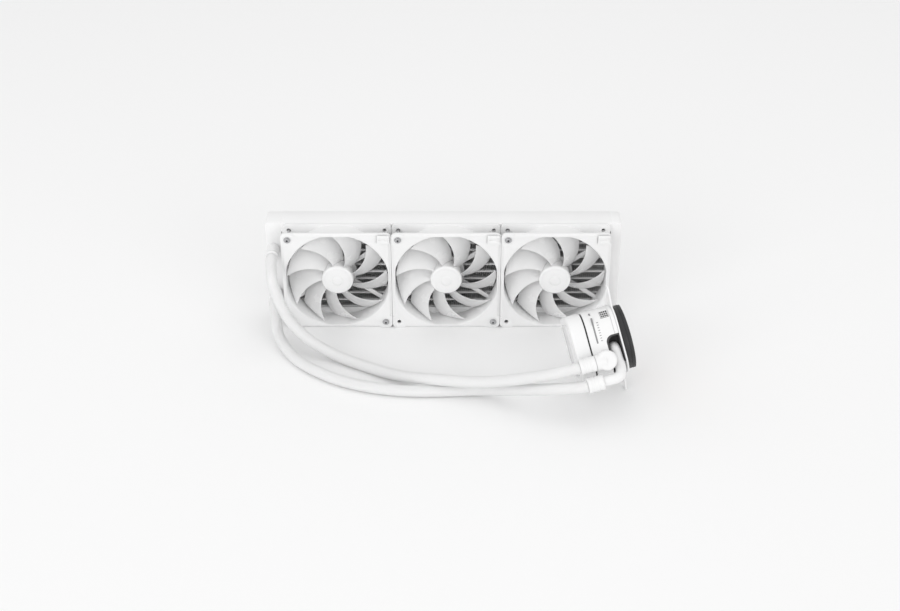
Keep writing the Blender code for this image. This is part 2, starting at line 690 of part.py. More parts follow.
def elbow_a():
    """A round swivel body on a stub, with its outlet to the side."""
    face = -HEAD_SIZE / 2
    out = Matrix.Translation((ELBOW_A[0], 0, ELBOW_A[1])) @ FACE_UPRIGHT
    top = -PORT_PLANE + 7.2
    profile = [(0, 31.0), (4.3, 31.0), (4.3, -face + 0.4), (9.6, -face + 0.4), (10.2, -face + 1.2)]
    profile += [(10.2, top - 2.4), (8.6, top - 0.6), (5.0, top), (0, top)]
    body = lathe(profile, 24, matrix=out)
    x, z = ELBOW_A
    outlet = sweep([(x, PORT_PLANE, z - 5), (x, PORT_PLANE, z - 11.4)], 6.2, 16)
    return carve(body, ("UNION", outlet))


def elbow_b():
    """A bent neck that rises from the recess's floor, leaves it and turns beside the round elbow."""
    rise = [(x, y, -9.0) for x, y in arc(13.2, -22.0, 6.8, 180, 270, 3)]
    path = [(6.4, -17.9, -9.0), *rise, (19, -29.4, -9.0), (25.5, -32.6, -9.2), (31, -37.4, -10.4)]
    path += [(35, -41.3, -13.2), (ELBOW_B_X, -43.1, -17.5), (ELBOW_B_X, PORT_PLANE, -22.0)]
    path += [(ELBOW_B_X, PORT_PLANE, -31.0)]
    return sweep(smooth_route(path, 4.5), 5.4, 12)


FERRULES = {"upper": (ELBOW_A[0], ELBOW_A[1] - 11.7), "lower": (ELBOW_B_X, -31.3)}
PUMP_FERRULE_LENGTH = 16.5


def build_head(place):
    head = empty("pump_head_frame", place)
    turning = empty("pump_axis", place @ Matrix.Translation((0, PUMP_SHIFT, 0)))
    fixed = {
        "pump_cap": (cap(), "white_plastic"),
        "cap_panel": (prism(rounded_rect(53.2, 53.2, 9.6, 4), CAP_END + 0.2, CAP_END + 0.7), "panel"),
        "seam_ring": (ring_prism(head_outline(0.9), head_outline(HEAD_WALL), *SEAM), "black_plastic"),
        "pump_housing": (housing(), "white_plastic"),
        "base_collar": (base_collar(), "white_plastic"),
        "bay_liner": (bay_liner(), "black_plastic"),
        "side_connector": (side_connector(), "black_plastic"),
        "mounting_bracket": (bracket(), "white_paint"),
        "base_block": (base_block(), "black_plastic"),
        "cold_plate": (cold_plate(), "copper"),
        "elbow_upper": (elbow_a(), "white_plastic"),
        "elbow_lower": (elbow_b(), "white_plastic"),
        "pump_board": (prism(rounded_rect(58, 58, 10, 2), -31.0, -29.6), "board"),
    }
    for name, piece in fixed.items():
        add_solid(name, *piece, parent=head)
    on_axis = {
        "pump_volute": (volute(), "black_plastic"),
        "pump_stator": (stator(8.3, 10.6, 15.2, -26.6, -18.4, 6, 24), "steel"),
        "pump_bearing": (lathe([(6.2, -25.1), (6.2, -24.3), (1.6, -24.3), (1.6, -25.1)], 16), "panel"),
        "impeller": (impeller(), "black_plastic"),
        "impeller_magnet": (lathe([(5.8, -23.9), (5.8, -14.2), (1.6, -14.2), (1.6, -23.9)], 16), "magnet"),
        "impeller_shaft": (lathe([(0, -25.0), (1.2, -25.0), (1.2, -8.0), (0, -8.0)], 12), "steel"),
    }
    for name, piece in on_axis.items():
        add_solid(name, *piece, parent=turning)
    collar = make_mesh("pump_ferrule", ferrule(PUMP_FERRULE_RADIUS, PUMP_FERRULE_LENGTH), "white_plastic")
    for side, (x, z) in FERRULES.items():
        obj = add(f"pump_ferrule_{side}", collar, head, mm(x, PORT_PLANE, z))
        obj.rotation_euler = (math.pi, 0, 0)


# ---- hoses ----


def hose(name, start, route, end):
    """A round hose that leaves each ferrule straight. start and end hold a mouth and the point before."""
    points = [start[0], *smooth_route([start[1], *route, end[1]], 2.4 * 2 * HOSE_RADIUS), end[0]]
    curve = bpy.data.curves.new(name, "CURVE")
    curve.dimensions = "3D"
    curve.bevel_depth = HOSE_RADIUS * MM
    curve.bevel_resolution = 3
    curve.use_fill_caps = True
    spline = curve.splines.new("POLY")
    spline.points.add(len(points) - 1)
    for knot, point in zip(spline.points, points):
        knot.co = (*(point * MM), 1.0)
    curve.materials.append(MATERIALS["sleeve"])
    add(name, curve)


def build_hoses(place):
    for side, route in (("upper", UPPER_ROUTE), ("lower", LOWER_ROUTE)):
        x, z = FERRULES[side]
        mouth = z - PUMP_FERRULE_LENGTH - GAP
        barb_mouth = Vector((LEFT + PORT_INSET, FRONT - FERRULE_FRONT, PORT_HEIGHTS[side]))
        start = [barb_mouth - Vector((0, out, 0)) for out in (0, LEAD)]
        end = [place @ Vector((x, PORT_PLANE, mouth - out)) for out in (0, LEAD)]
        hose(f"hose_{side}", start, route, end)


clear_scene()
MATERIALS = {name: make_material(name) for name in COLOURS}
HEAD_PLACE = head_matrix()
build_radiator()
build_fans()
build_head(HEAD_PLACE)
build_hoses(HEAD_PLACE)
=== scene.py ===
"""Looks for a closed-loop liquid cooler: radiator, three fans, two sleeved hoses and a pump head.

Shapes are drawn in millimetres and scaled to metres as each piece is made.
Fans and the pump head are drawn about their own axes, then placed.
"""

import math

import bmesh
import bpy
from mathutils import Matrix, Vector


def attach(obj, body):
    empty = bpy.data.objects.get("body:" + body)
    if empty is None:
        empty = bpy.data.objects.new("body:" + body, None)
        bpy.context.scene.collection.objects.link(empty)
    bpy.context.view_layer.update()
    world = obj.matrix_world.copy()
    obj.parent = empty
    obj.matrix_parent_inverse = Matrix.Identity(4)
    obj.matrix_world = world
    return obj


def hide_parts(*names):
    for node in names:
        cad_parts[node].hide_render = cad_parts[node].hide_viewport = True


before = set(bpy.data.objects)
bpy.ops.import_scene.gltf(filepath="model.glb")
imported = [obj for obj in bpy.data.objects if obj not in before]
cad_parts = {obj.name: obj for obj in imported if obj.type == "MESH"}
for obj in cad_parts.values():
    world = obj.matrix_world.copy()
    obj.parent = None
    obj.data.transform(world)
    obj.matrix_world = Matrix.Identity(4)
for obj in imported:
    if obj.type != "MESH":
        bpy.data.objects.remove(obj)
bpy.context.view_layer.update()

MM = 0.001
FACE_UPRIGHT = Matrix.Rotation(math.radians(90), 4, "X")

# Radiator
LEFT, RIGHT, CORE_LEFT, CORE_RIGHT = -196.0, 196.0, -178.0, 184.0
FRONT, BACK, HEIGHT = -13.5, 13.5, 120.0
TUBE_COUNT, TUBE_PITCH, FIN_PITCH = 12, 9.2, 1.15
MID_HEIGHT = HEIGHT / 2
TUBE_HEIGHTS = [MID_HEIGHT + (i - (TUBE_COUNT - 1) / 2) * TUBE_PITCH for i in range(TUBE_COUNT)]
PORTS = {"upper": 88.0, "lower": 32.0}
PORT_X = -188.2

# Fans
FAN_X = {"left": -117.0, "middle": 3.0, "right": 123.0}
FAN_BACK, FAN_DEPTH, BORE, HUB, BLADE_TIP = -13.8, 25.0, 57.0, 17.5, 55.4
SCREW_OFFSET, MOTOR_SCREW_RING = 52.5, 12
BLADE_COUNT, BLADE_PHASE, BLADE_WRAP, BLADE_SWEEP = 9, 7.0, 34, 32
ARM_ANGLES = (35, 145, 215, 325)
CONTACT_CENTRE = (51.5, 53.6)

# Pump head: its own +Z points to the cold plate and +X to its lower edge
HEAD_ORIGIN = Vector((180.3, -157.5, 63.6))
HEAD_AXIS = Vector((0.964, 0.174, 0.202)).normalized()
HEAD_DOWN = Vector((0.264, -0.511, -0.818))
HEAD_SIZE, HEAD_CORNER, WALL = 70.0, 18.0, 2.5
ELBOW_X = {"upper": 16.6, "lower": 36.5}
FERRULE_TOP = {"upper": -34.2, "lower": -31.3}
PUMP_FERRULE = 16.5
OUTLET_PLANE, STUB_Z = -43.5, -22.5
EAR_ANGLE, EAR_REACH, EAR_RADIUS = 31, 58.6, 6.0
BASE_RADIUS, BASE_FLAT, BASE_SCREW_RING = 34.5, 33, 30.2
CORNER_CENTRE = HEAD_SIZE / 2 - HEAD_CORNER
GROOVE_LOW, GROOVE_HIGH = -26.3, -24.6
PIN_ROWS, TICKS = 5, 8

# Hoses
HOSE_RADIUS, LEAD = 6.0, 5.0
ROUTES = {
    "upper": [
        (-187.6, -46.8, 86.0), (-185.2, -65.2, 78.0), (-180.9, -72.5, 66.0), (-175.7, -77.8, 54.0),
        (-165.3, -83.8, 36.0), (-143.7, -94.0, 18.0), (-113.8, -108.6, 8.2), (-82.8, -125.9, 6.5),
        (-47.0, -146.0, 8.5), (-3.7, -170.0, 19.6), (43.4, -184.7, 27.0), (87.5, -200.4, 43.0),
        (115.5, -211.5, 56.5),
    ],
    "lower": [
        (-187.0, -46.0, 29.0), (-184.5, -59.0, 21.0), (-180.5, -74.5, 12.0), (-166.0, -101.5, 6.5),
        (-145.0, -126.5, 6.5), (-111.0, -151.0, 6.5), (-71.0, -166.0, 6.5), (-27.0, -172.0, 6.5),
        (38.6, -172.0, 8.0), (75.3, -190.0, 21.0), (113.0, -216.0, 40.0),
    ],
}


# ---- finishes ----


class Channel:
    """One output of a material's nodes, which arithmetic turns into further nodes."""

    def __init__(self, finish, socket):
        self.finish, self.socket = finish, socket

    def math(self, operation, *others):
        inputs = dict(enumerate((self, *others)))
        return self.finish.node("ShaderNodeMath", {"operation": operation}, inputs)

    def __add__(self, other):
        return self.math("ADD", other)

    def __mul__(self, other):
        return self.math("MULTIPLY", other)

    def __sub__(self, other):
        return self.math("SUBTRACT", other)

    def __rsub__(self, other):
        return self.math("MULTIPLY_ADD", -1.0, other)

    def __gt__(self, other):
        return self.math("GREATER_THAN", other)

    __radd__, __rmul__ = __add__, __mul__


class Finish:
    """A material whose varying parts are worked out by expressions on its channels."""

    def __init__(self, name, colour, roughness, **fixed):
        self.material = bpy.data.materials.new(name)
        self.material.use_nodes = True
        self.tree = self.material.node_tree
        self.shader = self.tree.nodes["Principled BSDF"]
        self.colour = (*colour, 1.0)
        self.shader.inputs["Base Color"].default_value = self.colour
        self.shader.inputs["Roughness"].default_value = roughness
        for words, value in fixed.items():
            self.shader.inputs[words.replace("_", " ").title()].default_value = value

    def node(self, kind, settings, inputs, output=0):
        made = self.tree.nodes.new(kind)
        for name, value in settings.items():
            if name == "stops":
                for stop, (place, shade) in zip(made.color_ramp.elements, value):
                    stop.position, stop.color = place, (shade, shade, shade, 1.0)
            else:
                setattr(made, name, value)
        for key, value in inputs.items():
            if isinstance(value, Channel):
                self.tree.links.new(value.socket, made.inputs[key])
            else:
                made.inputs[key].default_value = value
        return Channel(self, made.outputs[output])

    def place(self):
        return self.node("ShaderNodeTexCoord", {}, {}, "Object")

    def axes(self, vector=None):
        split = self.node("ShaderNodeSeparateXYZ", {}, {"Vector": vector or self.place()})
        return [Channel(self, output) for output in split.socket.node.outputs]

    def noise(self, scale, detail=2.0, vector=None):
        inputs = {"Vector": vector or self.place(), "Scale": scale, "Detail": detail}
        return self.node("ShaderNodeTexNoise", {}, inputs, "Fac")

    def stretched(self, x, y, z):
        """Places scaled along each axis, for grain that runs one way."""
        return self.node("ShaderNodeVectorMath", {"operation": "MULTIPLY"}, {0: self.place(), 1: (x, y, z)})

    def ramp(self, value, low, high):
        """Rises from 0 at low to 1 at high."""
        stops = ((low, 0.0), (high, 1.0))
        return self.node("ShaderNodeValToRGB", {"stops": stops}, {"Fac": value}, "Color")

    def mix(self, share, first, second):
        return self.node("ShaderNodeMix", {"data_type": "RGBA"}, {0: share, 6: first, 7: second}, 2)

    def feed(self, socket, value):
        self.tree.links.new(value.socket, self.shader.inputs[socket])

    def tint(self, share, other):
        """Moves the base colour towards another where share is high."""
        self.feed("Base Color", self.mix(share, self.colour, (*other, 1.0)))

    def relief(self, height, depth):
        """Bumps of so many metres' depth."""
        inputs = {"Height": height, "Distance": depth, "Strength": 1.0}
        self.feed("Normal", self.node("ShaderNodeBump", {}, inputs, "Normal"))


def powder_coat(name, colour):
    """Baked paint with a fine orange peel and slightly uneven gloss."""
    finish = Finish(name, colour, 0.42, coat_weight=0.08, coat_roughness=0.3)
    finish.relief(finish.noise(650.0, 3.0), 0.00009)
    finish.tint(finish.ramp(finish.noise(24.0, 4.0), 0.42, 0.7) * 0.5, tuple(c * 0.95 for c in colour))
    finish.feed("Roughness", finish.noise(90.0) * 0.16 + 0.36)
    return finish


def moulding(name, colour, roughness, grain=0.00006, scale=1500.0):
    """Moulded plastic with a spark-eroded grain and faint flow marks."""
    finish = Finish(name, colour, roughness)
    finish.relief(finish.noise(scale, 4.0), grain)
    flow = finish.noise(16.0, 3.0, finish.stretched(1.0, 1.0, 2.6))
    finish.tint(finish.ramp(flow, 0.45, 0.68) * 0.6, tuple(c * 0.955 for c in colour))
    finish.feed("Roughness", finish.noise(300.0, 3.0) * 0.14 + (roughness - 0.07))
    return finish


def milky_plastic():
    """Translucent blade plastic: glossy, a little cloudier towards the hub, with fine flow lines."""
    colour = (0.84, 0.84, 0.84)
    even = {"subsurface_weight": 0.35, "subsurface_scale": 0.004, "subsurface_radius": (1.0, 1.0, 1.0)}
    finish = Finish("milky_blade", colour, 0.24, coat_weight=0.12, **even)
    x, y, _ = finish.axes()
    reach = (x * x + y * y).math("SQRT")
    root = 1.0 - finish.ramp(reach, 0.017, 0.040)
    clouds = finish.ramp(finish.noise(60.0, 4.0), 0.4, 0.75)
    finish.tint((root * 0.7 + clouds * 0.35).math("MINIMUM", 1.0), (0.91, 0.91, 0.91))
    rings = (reach * 9000.0).math("SINE")
    finish.relief(rings * 0.3 + finish.noise(500.0, 2.0), 0.00002)
    finish.feed("Roughness", clouds * 0.1 + 0.2)
    return finish


def fin_foil():
    """Thin brazed foil with louvres cut across each fold, dulled unevenly by flux."""
    finish = Finish("fin_foil", (0.93, 0.93, 0.93), 0.42)
    _, y, _ = finish.axes()
    louvres = (y * 4200.0).math("SINE")
    finish.relief(louvres, 0.0002)
    flux = finish.ramp(finish.noise(140.0, 4.0), 0.45, 0.7)
    finish.tint(flux * 0.7 + (louvres > 0.6) * 0.3, (0.93, 0.93, 0.93))
    finish.feed("Roughness", flux * 0.25 + 0.34)
    return finish


def overspray():
    """Flat tube metal whose rounded fronts caught the white paint, thinning towards the middle."""
    finish = Finish("tube_overspray", (0.95, 0.95, 0.95), 0.4)
    _, y, _ = finish.axes()
    inside = 1.0 - finish.ramp(y.math("ABSOLUTE"), 0.0060, 0.0090)
    speckle = finish.ramp(finish.noise(420.0, 4.0), 0.42, 0.62)
    finish.tint((inside * 0.8 + speckle * 0.15).math("MINIMUM", 1.0), (0.7, 0.7, 0.7))
    finish.relief(finish.noise(700.0, 3.0), 0.00008)
    finish.feed("Roughness", speckle * 0.2 + 0.34)
    return finish


def braid(name, colour):
    """A tight sleeve of flat strands woven over and under on both diagonals."""
    finish = Finish(name, colour, 0.62, sheen_weight=0.25, sheen_roughness=0.4)
    unrolled = finish.node("ShaderNodeUVMap", {"uv_map": "unrolled"}, {}, "UV")
    round_hose, along, _ = finish.axes(unrolled)
    turns, rows = round_hose * 24.0, along * 24.0
    first, second = turns + rows, turns - rows
    over = ((first * 0.5).math("FRACT") > 0.5).math("COMPARE", ((second * 0.5).math("FRACT") > 0.5), 0.1)
    ridge_a = (first * math.pi).math("SINE").math("ABSOLUTE")
    ridge_b = (second * math.pi).math("SINE").math("ABSOLUTE")
    height = over * ridge_a + (1.0 - over) * ridge_b
    strands_a = (first * 5.0 * math.pi).math("SINE") * over
    strands = strands_a + (second * 5.0 * math.pi).math("SINE") * (1.0 - over)
    finish.relief(height + strands * 0.12, 0.00035)
    # The hollows between the strands are tinted darker: painted shade in the weave.
    finish.tint((1.0 - finish.ramp(height, 0.05, 0.55)) * 0.3, tuple(c * 0.88 for c in colour))
    finish.feed("Roughness", 0.72 - height * 0.2)
    return finish


def turned_metal(name, colour, roughness, rings=6000.0):
    """Bare metal with turning marks round its own axis and a little tarnish."""
    finish = Finish(name, colour, roughness, metallic=1.0)
    x, y, _ = finish.axes()
    marks = ((x * x + y * y).math("SQRT") * rings).math("SINE")
    finish.relief(marks + finish.noise(900.0, 2.0), 0.00002)
    tarnish = finish.ramp(finish.noise(110.0, 4.0), 0.45, 0.75)
    finish.tint(tarnish * 0.5, tuple(c * 0.7 for c in colour))
    finish.feed("Roughness", tarnish * 0.2 + roughness)
    return finish


def floor_finish():
    finish = Finish("paper_sweep", (0.92, 0.92, 0.92), 0.9)
    finish.feed("Roughness", finish.noise(8.0) * 0.08 + 0.86)
    return finish


PAINT = powder_coat("white_powder_coat", (0.86, 0.86, 0.86))
FRAME_PLASTIC = moulding("white_frame_plastic", (0.84, 0.84, 0.84), 0.45)
HEAD_PLASTIC = moulding("white_head_plastic", (0.835, 0.835, 0.835), 0.4, 0.00004, 2200.0)
GLOSS_PANEL = moulding("gloss_cap_panel", (0.85, 0.85, 0.86), 0.14, 0.00001, 300.0)
GREY = moulding("grey_light_strip", (0.26, 0.26, 0.265), 0.35, 0.00003, 900.0)
BLACK = moulding("black_base_plastic", (0.017, 0.017, 0.018), 0.42, 0.00008, 1200.0)
LINING = moulding("charcoal_lining", (0.075, 0.075, 0.077), 0.5, 0.00006, 1200.0)
MILKY = milky_plastic()
FOIL = fin_foil()
TUBES = overspray()
SLEEVE = braid("braided_sleeve", (0.96, 0.96, 0.96))
STEEL = turned_metal("zinc_screw", (0.52, 0.52, 0.53), 0.32)
# Near-black finish for painted shade on the floors of the screws' hexagon sockets.
SOCKET_SHADE = turned_metal("socket_shade_finish", (0.06, 0.06, 0.065), 0.5)
COPPER = turned_metal("machined_copper", (0.78, 0.38, 0.23), 0.22, 9000.0)
BRONZE = turned_metal("sintered_bronze", (0.55, 0.38, 0.18), 0.45)
FERRITE = moulding("bonded_ferrite", (0.05, 0.05, 0.052), 0.6, 0.00012, 700.0)
BOARD = moulding("solder_mask", (0.02, 0.11, 0.05), 0.35, 0.00005, 600.0)


# ---- shapes, in millimetres ----


def arc(cx, cy, radius, start, end, steps):
    angles = [math.radians(start + (end - start) * i / steps) for i in range(steps + 1)]
    return [(cx + radius * math.cos(t), cy + radius * math.sin(t)) for t in angles]


def circle(radius, sides, cx=0.0, cy=0.0):
    return arc(cx, cy, radius, 0, 360 - 360 / sides, sides - 1)


def rounded_rect(width, height, radius, steps=8):
    x, y = width / 2 - radius, height / 2 - radius
    corners = [(x, y, 0), (-x, y, 90), (-x, -y, 180), (x, -y, 270)]
    return [p for cx, cy, start in corners for p in arc(cx, cy, radius, start, start + 90, steps)]


def skin(shape, rings, capped=True, looped=False):
    """Joins rings of points into one surface."""
    made = [[shape.verts.new(p) for p in ring] for ring in rings]
    pairs = list(zip(made, made[1:])) + ([(made[-1], made[0])] if looped else [])
    for first, second in pairs:
        for i in range(len(first)):
            j = (i + 1) % len(first)
            shape.faces.new((first[i], first[j], second[j], second[i]))
    if capped and not looped:
        shape.faces.new(reversed(made[0]))
        shape.faces.new(made[-1])
    return shape


def prism(outline, low, high, shape=None, place=Matrix()):
    rings = [[place @ Vector((x, y, z)) for x, y in outline] for z in (low, high)]
    return skin(shape or bmesh.new(), rings)


def across(outline, low, high):
    """A prism whose outline is (x, z) and which runs along y."""
    return skin(bmesh.new(), [[Vector((x, y, z)) for x, z in outline] for y in (low, high)])


def wall(outer, inner, low, high):
    loops = [(outer, low), (outer, high), (inner, high), (inner, low)]
    return skin(bmesh.new(), [[Vector((x, y, z)) for x, y in loop] for loop, z in loops], looped=True)


def block(low, high, shape=None, place=Matrix()):
    outline = [(low[0], low[1]), (high[0], low[1]), (high[0], high[1]), (low[0], high[1])]
    return prism(outline, low[2], high[2], shape, place)


def lathe(profile, sides, shape=None, place=Matrix()):
    """Turns (radius, z) points about Z. Ends that lie on the axis are closed by flat faces."""
    shape = shape or bmesh.new()
    solid = profile[0][0] == 0
    points = profile[1:-1] if solid else profile
    loops = [(circle(max(radius, 0.01), sides), z) for radius, z in points]
    rings = [[place @ Vector((x, y, z)) for x, y in loop] for loop, z in loops]
    return skin(shape, rings, capped=solid, looped=not solid)


def bar(path, radius, sides):
    """A round bar along some points, with its surface unrolled: u goes once round and v keeps its scale."""
    shape = bmesh.new()
    unrolled = shape.loops.layers.uv.new("unrolled")
    points = [Vector(p) for p in path]
    ways = [(b - a).normalized() for a, b in zip(points, points[1:])]
    ways = [ways[0]] + [(a + b).normalized() for a, b in zip(ways, ways[1:])] + [ways[-1]]
    side, rings, travelled = ways[0].orthogonal().normalized(), [], [0.0]
    for point, way in zip(points, ways):
        side = (side - way * side.dot(way)).normalized()
        other = way.cross(side)
        rings.append([shape.verts.new(point + side * x + other * y) for x, y in circle(radius, sides)])
    for a, b in zip(points, points[1:]):
        travelled.append(travelled[-1] + (b - a).length / (2 * math.pi * radius))
    for k in range(len(points) - 1):
        for i in range(sides):
            j = (i + 1) % sides
            face = shape.faces.new((rings[k][i], rings[k][j], rings[k + 1][j], rings[k + 1][i]))
            corners = ((i, k), (i + 1, k), (i + 1, k + 1), (i, k + 1))
            for loop, (step, row) in zip(face.loops, corners):
                loop[unrolled].uv = (step / sides, travelled[row])
    shape.faces.new(reversed(rings[0]))
    shape.faces.new(rings[-1])
    return shape


def smooth_route(points, spacing):
    """Points along a Catmull-Rom curve through the given ones, about spacing apart."""
    points = [Vector(p) for p in points]
    padded = [2 * points[0] - points[1]] + points + [2 * points[-1] - points[-2]]
    fine = []
    for a, b, c, d in zip(padded, padded[1:], padded[2:], padded[3:]):
        for i in range(12):
            t = i / 12
            bend = (2 * a - 5 * b + 4 * c - d) * t**2 + (3 * b - a - 3 * c + d) * t**3
            fine.append(0.5 * (2 * b + (c - a) * t + bend))
    fine.append(points[-1])
    lengths = [0.0]
    for a, b in zip(fine, fine[1:]):
        lengths.append(lengths[-1] + (b - a).length)
    count, route, at = max(2, round(lengths[-1] / spacing)), [], 0
    for i in range(count + 1):
        target = lengths[-1] * i / count
        while at < len(fine) - 2 and lengths[at + 1] < target:
            at += 1
        route.append(fine[at].lerp(fine[at + 1], (target - lengths[at]) / (lengths[at + 1] - lengths[at])))
    return route


# ---- pieces ----


def to_mesh(shape):
    """A mesh from a bmesh, with its faces turned outwards. A finished mesh passes through."""
    if isinstance(shape, bpy.types.Mesh):
        return shape
    bmesh.ops.recalc_face_normals(shape, faces=shape.faces)
    mesh = bpy.data.meshes.new("shape")
    shape.to_mesh(mesh)
    shape.free()
    return mesh


def changed(mesh, kind, *steps):
    """The mesh after one kind of modifier, once for each step's settings."""
    obj = bpy.data.objects.new("changed", mesh)
    bpy.context.scene.collection.objects.link(obj)
    for settings in steps:
        modifier = obj.modifiers.new(kind, kind)
        for name, value in settings.items():
            setattr(modifier, name, value)
    graph = bpy.context.evaluated_depsgraph_get()
    result = bpy.data.meshes.new_from_object(obj.evaluated_get(graph))
    bpy.data.objects.remove(obj)
    return result


def carve(body, *cuts, join=()):
    """The body with every shape in join added and every cut taken away."""
    tools, steps = [], []
    for operation, shapes in (("UNION", join), ("DIFFERENCE", cuts)):
        for shape in shapes:
            tool = bpy.data.objects.new("tool", to_mesh(shape))
            bpy.context.scene.collection.objects.link(tool)
            tools.append(tool)
            steps.append({"operation": operation, "object": tool, "solver": "EXACT"})
    result = changed(to_mesh(body), "BOOLEAN", *steps)
    for tool in tools:
        bpy.data.objects.remove(tool)
    return result


def dressed(shape, finish, soften=0.0, sharp=35.0):
    """A mesh in metres with its finish, its edges rounded by soften."""
    mesh = to_mesh(shape)
    if soften:
        limit = {"limit_method": "ANGLE", "angle_limit": math.radians(40)}
        mesh = changed(mesh, "BEVEL", {"width": soften, "segments": 2, **limit})
    mesh.transform(Matrix.Scale(MM, 4))
    mesh.materials.clear()
    mesh.materials.append(finish.material)
    mesh.shade_smooth()
    mesh.set_sharp_from_angle(angle=math.radians(sharp))
    return mesh


def metres(place):
    return Matrix.Translation(place.translation * MM) @ place.to_3x3().to_4x4()


def put(name, mesh, slot, *stands_for, place=Matrix(), body="cooler"):
    """A piece at a place in millimetres, riding on a body and standing for CAD nodes."""
    obj = bpy.data.objects.new(name, mesh)
    bpy.context.scene.collection.objects.link(obj)
    obj.matrix_world = metres(place)
    bpy.context.view_layer.update()
    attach(obj, body)
    if stands_for:
        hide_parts(*stands_for)
    return obj


def at(x, y, z):
    return Matrix.Translation((x, y, z))


# ---- camera, light and floor ----

camera = bpy.data.objects.new("camera", bpy.data.cameras.new("camera"))
bpy.context.scene.collection.objects.link(camera)
camera.location = (0.0073, -1.4507, 0.9112)
camera.rotation_euler = (math.radians(58), 0, 0)
camera.data.lens, camera.data.sensor_width = 59.8, 36.0
bpy.context.scene.camera = camera
bpy.context.scene.view_settings.view_transform = "Standard"

world = bpy.data.worlds.new("studio")
bpy.context.scene.world = world
world.use_nodes = True
world.node_tree.nodes["Background"].inputs["Color"].default_value = (1.0, 1.0, 1.0, 1.0)
world.node_tree.nodes["Background"].inputs["Strength"].default_value = 0.84


def softbox(name, place, target, size, power):
    light = bpy.data.objects.new(name, bpy.data.lights.new(name, "AREA"))
    light.data.shape, light.data.size, light.data.size_y = "RECTANGLE", *size
    light.data.energy = power
    light.location = place
    light.rotation_euler = (Vector(target) - Vector(place)).to_track_quat("-Z", "Y").to_euler()
    bpy.context.scene.collection.objects.link(light)


softbox("overhead", (0.1, -0.3, 1.8), (0, -0.05, 0), (2.2, 1.6), 3.8)
softbox("front_left", (-3.0, -4.0, 1.8), (0, -0.05, 0.05), (3.2, 2.4), 62.0)
softbox("front_right", (3.2, -4.0, 1.5), (0, -0.05, 0.05), (2.8, 2.0), 32.0)

sheet = bmesh.new()
bmesh.ops.create_grid(sheet, x_segments=1, y_segments=1, size=6000)
floor_mesh = dressed(sheet, floor_finish())
floor = bpy.data.objects.new("floor", floor_mesh)
bpy.context.scene.collection.objects.link(floor)


# ---- hoses ----

head_down = (HEAD_DOWN - HEAD_AXIS * HEAD_DOWN.dot(HEAD_AXIS)).normalized()
head_turn = Matrix((head_down, HEAD_AXIS.cross(head_down), HEAD_AXIS)).transposed().to_4x4()
HEAD_PLACE = Matrix.Translation(HEAD_ORIGIN) @ head_turn

for side, middle in ROUTES.items():
    mouth = FERRULE_TOP[side] - PUMP_FERRULE - 0.3
    start = [Vector((PORT_X, FRONT - 20.5 - out, PORTS[side])) for out in (0, LEAD)]
    end = [HEAD_PLACE @ Vector((ELBOW_X[side], OUTLET_PLANE, mouth - out)) for out in (0, LEAD)]
    path = [start[0], *smooth_route([start[1], *middle, end[1]], 5.0), end[0]]
    sleeved = dressed(bar(path, HOSE_RADIUS, 28), SLEEVE)
    hose = put(f"sleeved_hose_{side}", sleeved, "sleeve", f"hose_{side}")
    length = sum((b - a).length for a, b in zip(path, path[1:])) * MM
    [p * MM for p in path]


# ---- radiator ----


def end_tank(outer, mouth):
    """A moulded tank, rounded at its outer corners and square where it meets the core."""
    inward = 1 if mouth > outer else -1
    bend = [(outer + inward * (4.0 - x), z) for x, z in arc(0, 4.0, 4.0, -90, 0, 8)]
    lower = [(mouth, 0.0)] + bend
    outline = lower + [(x, HEIGHT - z) for x, z in reversed(lower)]
    return prism(outline, FRONT, BACK, place=FACE_UPRIGHT)


def folded_foil():
    """Every row of fins as one folded sheet, with rounded folds against the tubes."""
    shape = bmesh.new()
    folds = int((CORE_RIGHT - CORE_LEFT - 1.0) / FIN_PITCH)
    for row in range(TUBE_COUNT + 1):
        height = MID_HEIGHT + (row - TUBE_COUNT / 2) * TUBE_PITCH
        line = []
        for k in range(folds):
            x = CORE_LEFT + 0.5 + k * FIN_PITCH
            side = 1 if k % 2 else -1
            shoulder, crest = height + side * 3.1, height + side * 3.45
            line += [(x - 0.28, shoulder), (x, crest), (x + 0.28, shoulder)]
        fronts = [shape.verts.new((x, -9.2, z)) for x, z in line]
        backs = [shape.verts.new((x, 9.6, z)) for x, z in line]
        for i in range(len(line) - 1):
            shape.faces.new((fronts[i], fronts[i + 1], backs[i + 1], backs[i]))
    return shape


def flat_tubes():
    """Flat tubes with rounded noses, brazed into a header plate at each end."""
    shape = bmesh.new()
    nose = arc(8.5, 0, 1.0, -90, 90, 6) + arc(-8.5, 0, 1.0, 90, 270, 6)
    ends = (CORE_LEFT - 3.5, CORE_RIGHT + 3.5)
    for height in TUBE_HEIGHTS:
        skin(shape, [[Vector((x, y, height + z)) for y, z in nose] for x in ends])
    for x in (CORE_LEFT - 2.2, CORE_RIGHT + 0.7):
        block((x, -11.2, 2.3), (x + 1.5, 11.2, 117.7), shape)
    return shape


def side_plate(outer, inward):
    """A folded channel whose turned edges carry the fans' screw holes."""
    sheet, edge = outer + inward * 1.2, outer + inward * 11.0
    section = [(FRONT, outer), (BACK, outer), (BACK, edge), (BACK - 1.2, edge)]
    section += [(BACK - 1.2, sheet), (FRONT + 1.2, sheet), (FRONT + 1.2, edge), (FRONT, edge)]
    ends = (CORE_LEFT - 0.5, CORE_RIGHT + 0.5)
    channel = skin(bmesh.new(), [[Vector((x, y, z)) for y, z in section] for x in ends])
    holes = bmesh.new()
    for x in FAN_X.values():
        for offset in (-SCREW_OFFSET, SCREW_OFFSET):
            prism(circle(1.9, 20, x + offset, outer + inward * 7.5), -20, 20, holes, FACE_UPRIGHT)
    return carve(channel, holes)


